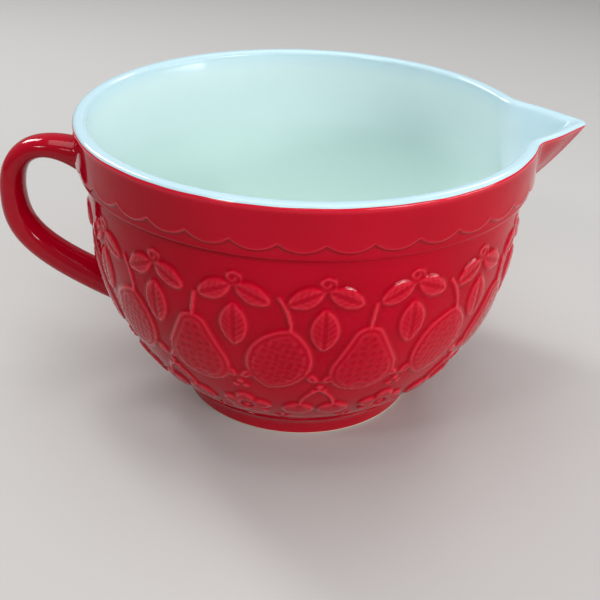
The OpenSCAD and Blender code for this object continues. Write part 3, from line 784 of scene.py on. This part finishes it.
# one ring about c, square to the way d; it spreads where it nears the wall and ends on its seat in it
def handleRing(c, d, halfT, halfW):
    a = np.linspace(0, tau, grip["points"] + 1)
    ca = np.sign(np.cos(a)) * np.abs(np.cos(a)) ** grip["square"]
    sa = np.sign(np.sin(a)) * np.abs(np.sin(a)) ** grip["square"]
    extra = 0
    for _ in range(2):
        across = (halfT + extra) * ca
        x, y, z = c[0] - across * d[1], (halfW + extra) * sa, c[1] + across * d[0]
        clear = (x - np.sqrt(faceR(z) ** 2 - y ** 2)) / grip["fillet"]
        grown = 1 + grip["inside"] * np.clip(-ca, 0, 1)
        extra = grip["spread"] * grown * (1 - np.clip(clear, 0, 1)) ** 2
    seat = np.sqrt((wallR(np.minimum(z, bowl["bandZ"])) - grip["seat"]) ** 2 - y ** 2)
    return np.stack([-np.maximum(x, seat), y, z], axis=-1), bool(np.all(x < seat))


# from the seat in the wall to the outermost point, with one sunk ring; way is 1 or -1 along the curve
def halfHandle(curve, thick, way):
    rings = []
    for i in range(grip["rings"] // 2 + 1):
        u = i / (grip["rings"] // 2)
        d = way * bezierWay(curve, u)
        root = (grip["rootW"] - grip["wide"]) * max(0, 1 - u / grip["rootWEnd"]) ** 2
        halfW = (grip["wide"] + root) / 2
        ring, sunk = handleRing(bezier(curve, u), d / np.linalg.norm(d), thick(u) / 2, halfW)
        if sunk:
            rings = []
        rings.append(ring)
    return rings


handlePoints = np.stack(halfHandle(upper, upperThick, 1) + halfHandle(lower, lowerThick, -1)[-2::-1])
handlePoints[:, -1] = handlePoints[:, 0]
handlePiece = wrapSheet("handle_loop", handlePoints, None, True)
print("stage: handle")


# materials

class Wire:
    def __init__(self, tree, socket):
        self.tree, self.socket = tree, socket

    def maths(self, kind, a, b):
        return addNode(self.tree, "ShaderNodeMath", {"operation": kind}, {0: a, 1: b})

    def __add__(self, other):
        return self.maths("ADD", self, other)

    def __mul__(self, other):
        return self.maths("MULTIPLY", self, other)

    def __sub__(self, other):
        return self.maths("SUBTRACT", self, other)

    def __rsub__(self, other):
        return self.maths("SUBTRACT", other, self)

    __radd__ = __add__
    __rmul__ = __mul__

    def clamp(self):
        return addNode(self.tree, "ShaderNodeClamp", {}, {0: self})


# sockets go by name or number, and take a value or a wire
def feed(tree, node, sockets):
    for key, value in sockets.items():
        if isinstance(value, Wire):
            tree.links.new(value.socket, node.inputs[key])
        else:
            node.inputs[key].default_value = value


def addNode(tree, kind, settings, sockets, output=0):
    node = tree.nodes.new(kind)
    for key, value in settings.items():
        setattr(node, key, value)
    feed(tree, node, sockets)
    return Wire(tree, node.outputs[output])


def shader(name):
    material = bpy.data.materials.new(name)
    material.use_nodes = True
    tree = material.node_tree
    return material, tree, tree.nodes["Principled BSDF"]


def mixColour(tree, factor, a, b):
    a, b = [value if isinstance(value, Wire) else (*value, 1) for value in (a, b)]
    return addNode(tree, "ShaderNodeMix", {"data_type": "RGBA"}, {0: factor, 6: a, 7: b}, 2)


def noise(tree, scale, detail=2):
    place = addNode(tree, "ShaderNodeTexCoord", {}, {}, "Object")
    return addNode(tree, "ShaderNodeTexNoise", {}, {"Vector": place, "Scale": scale, "Detail": detail})


def markOf(tree, name):
    return addNode(tree, "ShaderNodeAttribute", {"attribute_name": name}, {}, "Fac")


def bump(tree, height, strength, depth=0.001):
    return addNode(tree, "ShaderNodeBump", {}, {"Strength": strength, "Distance": depth, "Height": height})


redLook = {"deep": (0.22, 0.0001, 0.004), "main": (0.42, 0.0001, 0.013), "thinAndHighlight": (0.64, 0.006, 0.028),
           "cloud": 22, "cloudFrom": 0.35, "cloudGain": 0.9, "thinAndHighlightShare": 0.85, "poolAndShadeShare": 0.9,
           "roughness": 0.07, "specular": 0.10, "coat": 0.3,
           "swell": (55, 2.2), "ripple": (210, 0.5), "bump": 0.07}


# with marks the glaze is lighter on edges, where it runs thin and where a highlight is painted, glossier
# there by its coat, and darker in hollows, where it pools deeper and where shade is painted; without, it is
# even all over
def redGlaze(name, hasMarks):
    material, tree, principled = shader(name)
    cloud = (noise(tree, redLook["cloud"]) - redLook["cloudFrom"]) * redLook["cloudGain"]
    base = mixColour(tree, cloud.clamp(), redLook["main"], redLook["deep"])
    if hasMarks:
        # painted highlight on edges, with the thinner glaze there
        thinAndHighlight = (markOf(tree, "edge") * redLook["thinAndHighlightShare"]).clamp()
        # painted shade in hollows, with the deeper glaze pooled there
        deep = (markOf(tree, "hollow") * redLook["poolAndShadeShare"]).clamp()
        base = mixColour(tree, thinAndHighlight, base, redLook["thinAndHighlight"])
        base = mixColour(tree, deep, base, redLook["deep"])
    (swellScale, swell), (rippleScale, ripple) = redLook["swell"], redLook["ripple"]
    uneven = noise(tree, swellScale, 1) * swell + noise(tree, rippleScale, 1) * ripple
    feed(tree, principled, {
        "Base Color": base,
        "Roughness": redLook["roughness"],
        "Specular IOR Level": redLook["specular"],
        "Coat Weight": markOf(tree, "gloss") if hasMarks else redLook["coat"],
        "Coat Roughness": redLook["roughness"],
        "Normal": bump(tree, uneven, redLook["bump"])})
    return material


# greener and lighter low in the bowl, which is painted light; bluer in the spout and where it runs over the
# lip, which is a painted reflection of the sky; the aqua tint of all of it is painted reflection as well
whiteLook = {"low": (0.67, 0.845, 0.775), "high": (0.56, 0.69, 0.70), "lip": (0.46, 0.64, 0.71),
             "lowZ": 30, "highZ": 110, "lipZ": 125, "spoutX": 86, "spoutShare": 0.75,
             "cloud": 9, "cloudGain": 0.4, "roughness": 0.12, "specular": 0.4, "swell": 60, "bump": 0.05}


# 0 at low and 1 at high, which are in mm
def shareOf(value, low, high):
    return (value - low * mm) * (1 / (high - low) / mm)


def whiteGlaze():
    material, tree, principled = shader("white_glaze_look")
    place = addNode(tree, "ShaderNodeTexCoord", {}, {}, "Object")
    x = addNode(tree, "ShaderNodeSeparateXYZ", {}, {"Vector": place}, "X")
    z = addNode(tree, "ShaderNodeSeparateXYZ", {}, {"Vector": place}, "Z")
    cloud = (noise(tree, whiteLook["cloud"]) - 0.5) * whiteLook["cloudGain"]
    # painted light: lighter and greener towards the floor of the bowl, with random clouding
    rise = shareOf(z, whiteLook["lowZ"], whiteLook["highZ"]) + cloud
    # painted sky reflection: bluer at the lip and in the spout
    lip = shareOf(z, whiteLook["lipZ"], bowl["lipZ"]).clamp()
    beak = shareOf(x, whiteLook["spoutX"], bowl["rimR"]).clamp()
    base = mixColour(tree, rise.clamp(), whiteLook["low"], whiteLook["high"])
    base = mixColour(tree, lip + (1 - lip) * beak * whiteLook["spoutShare"], base, whiteLook["lip"])
    feed(tree, principled, {
        "Base Color": base,
        "Roughness": whiteLook["roughness"],
        "Specular IOR Level": whiteLook["specular"],
        "Normal": bump(tree, noise(tree, whiteLook["swell"], 1), whiteLook["bump"])})
    return material


clayLook = {"dark": (0.62, 0.50, 0.38), "pale": (0.74, 0.63, 0.50), "grain": 900, "roughness": 0.85,
            "bump": 0.25, "bumpDepth": 0.0005}


def bareClay():
    material, tree, principled = shader("bare_clay")
    grain = noise(tree, clayLook["grain"], 3)
    feed(tree, principled, {
        "Base Color": mixColour(tree, grain.clamp(), clayLook["dark"], clayLook["pale"]),
        "Roughness": clayLook["roughness"],
        "Normal": bump(tree, grain, clayLook["bump"], clayLook["bumpDepth"])})
    return material


redMarked = redGlaze("red_glaze_relief", True)
redPlain = redGlaze("red_glaze_plain", False)
for piece in (bodyRight, bodyLeft, rimPiece):
    piece.data.materials.append(redMarked)
handlePiece.data.materials.append(redPlain)
linerPiece.data.materials.append(whiteGlaze())
footPiece.data.materials.append(redPlain)
footPiece.data.materials.append(bareClay())
for face in footPiece.data.polygons:
    if face.center.z < foot["bareZ"] * mm:
        face.material_index = 1
print("stage: materials")


# what each piece stands for

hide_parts("lower_wall", "middle_wall", "upper_wall", "relief_pears", "relief_lemons",
            "relief_cherries", "relief_leaves", "relief_blossoms", "relief_stalks")
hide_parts("rim_collar", "scallop_band", "pouring_spout")
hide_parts("liner_glaze")
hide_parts("foot_ring", "bowl_floor")
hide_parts("handle")
for piece, name in ((bodyRight, "red_glaze"), (bodyLeft, "red_glaze"), (rimPiece, "red_glaze"),
                    (handlePiece, "red_glaze"), (linerPiece, "white_glaze"), (footPiece, "foot_glaze")):
    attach(piece, "root")


# floor, light and camera

studio = {"floorSize": 14, "floor": (0.47, 0.46, 0.445), "floorRough": 0.75,
          "sky": (0.93, 0.96, 1.0), "skyLight": 0.25, "aim": (0, 0, 0.08)}
bpy.ops.object.select_all(action="DESELECT")
bpy.ops.mesh.primitive_plane_add(size=studio["floorSize"], location=(0, 0, 0))
floor = bpy.context.object
floor.name = "studio_floor"
floorLook, floorTree, floorShader = shader("floor_look")
feed(floorTree, floorShader, {"Base Color": (*studio["floor"], 1), "Roughness": studio["floorRough"]})
floor.data.materials.append(floorLook)

world = bpy.data.worlds.new("studio")
bpy.context.scene.world = world
world.use_nodes = True
sky = world.node_tree.nodes["Background"]
feed(world.node_tree, sky, {"Color": (*studio["sky"], 1), "Strength": studio["skyLight"]})

# place, then width and height, in metres, and power in watts
lamps = {
    "ceiling": ((0.0, 0.0, 1.10), (0.80, 0.80), 6),
    "key": ((0.85, -0.75, 0.50), (0.50, 0.40), 4.5),
    "low_window": ((0.98, -0.22, 0.23), (0.50, 0.14), 2.2),
    "key_strip": ((0.70, -0.90, 0.45), (0.45, 0.12), 2.8),
    "front_strip": ((0.0, -0.95, 0.90), (0.60, 0.12), 2),
    "left_fill": ((-0.60, -0.70, 0.85), (0.20, 0.10), 2),
    "right_window": ((0.45, 0.75, 0.80), (0.40, 0.16), 2),
    "left_window": ((-0.70, 0.60, 0.80), (0.20, 0.50), 6.5),
}
for name, (place, size, power) in lamps.items():
    data = bpy.data.lights.new(name, "AREA")
    data.shape = "RECTANGLE"
    data.size, data.size_y = size
    data.energy = power
    lamp = bpy.data.objects.new(name, data)
    bpy.context.collection.objects.link(lamp)
    lamp.location = place
    lamp.rotation_euler = (Vector(studio["aim"]) - Vector(place)).to_track_quat("-Z", "Y").to_euler()

# place, lens, sensor and nearest distance as Blender takes them; pitch and roll in degrees
view = {"place": (0.0001, -0.3852, 0.2640), "pitch": 30.38, "roll": 2.25,
        "lens": 54.9, "sensor": 36, "near": 0.01}
pitchDown, roll = math.radians(view["pitch"]), math.radians(view["roll"])
forward = np.array([0, math.cos(pitchDown), -math.sin(pitchDown)])
right = np.array([1.0, 0, 0])
upward = np.array([0, math.sin(pitchDown), math.cos(pitchDown)])
rightTurned = math.cos(roll) * right + math.sin(roll) * upward
upTurned = math.cos(roll) * upward - math.sin(roll) * right
cameraData = bpy.data.cameras.new("camera")
cameraData.lens = view["lens"]
cameraData.sensor_width = view["sensor"]
cameraData.clip_start = view["near"]
camera = bpy.data.objects.new("camera", cameraData)
bpy.context.collection.objects.link(camera)
axes = np.eye(4)
axes[:3, 0], axes[:3, 1], axes[:3, 2], axes[:3, 3] = rightTurned, upTurned, -forward, view["place"]
camera.matrix_world = Matrix(axes.tolist())
bpy.context.scene.camera = camera
bpy.context.scene.view_settings.view_transform = "Standard"
print("stage: floor, light and camera")
